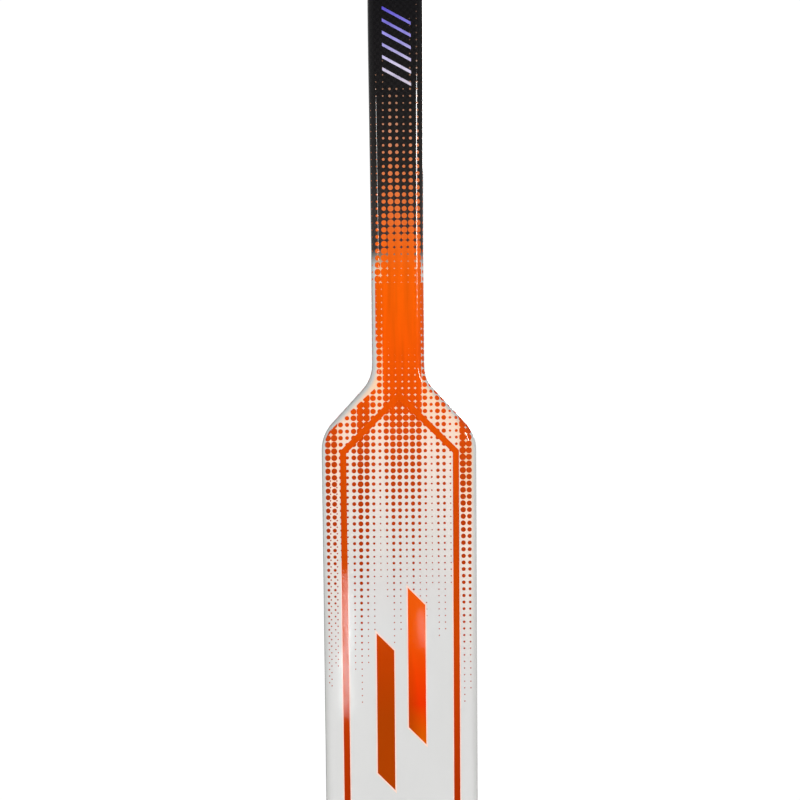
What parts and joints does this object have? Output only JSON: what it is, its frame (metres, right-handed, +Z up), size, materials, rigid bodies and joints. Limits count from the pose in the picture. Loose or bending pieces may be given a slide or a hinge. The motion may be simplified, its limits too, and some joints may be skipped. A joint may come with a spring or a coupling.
{
  "type": "goalkeeper ice hockey stick",
  "caption": "Goalkeeper's ice hockey stick: hollow rectangular shaft, wide foam-cored paddle and curved blade.",
  "frame": {"origin": "the shaft's centre line at the neck, where the shaft starts to widen into the paddle and the upper hand rests", "axes": "+Z up along the shaft to the butt end, -Y out of the front (forehand) face, +X towards the toe of the blade"},
  "size_m": [0.3784, 0.0277, 1.635],
  "materials": {
    "shaft_laminate": "gloss",
    "painted_laminate": "gloss",
    "print_orange": "gloss",
    "foil": "polished",
    "plug_rubber": "matte",
    "core_laminate": "satin",
    "filler": "matte",
    "foam": "matte"
  },
  "bodies": {
    "root": {"shaft_tube": "shaft_laminate", "butt_plug": "plug_rubber", "neck_spigot": "core_laminate", "shoulder_insert_left": "filler", "shoulder_insert_right": "filler", "paddle_front_skin": "painted_laminate", "paddle_back_skin": "painted_laminate", "paddle_rail_left": "core_laminate", "paddle_rail_right": "core_laminate", "paddle_rib_left": "core_laminate", "paddle_rib_right": "core_laminate", "paddle_foam_left": "foam", "paddle_foam_centre": "foam", "paddle_foam_right": "foam", "heel_block": "filler", "blade_front_skin": "painted_laminate", "blade_back_skin": "painted_laminate", "blade_rib_upper": "core_laminate", "blade_rib_lower": "core_laminate", "blade_foam_upper": "foam", "blade_foam_middle": "foam", "blade_foam_lower": "foam", "toe_insert": "filler"}
  },
  "joints": []
}
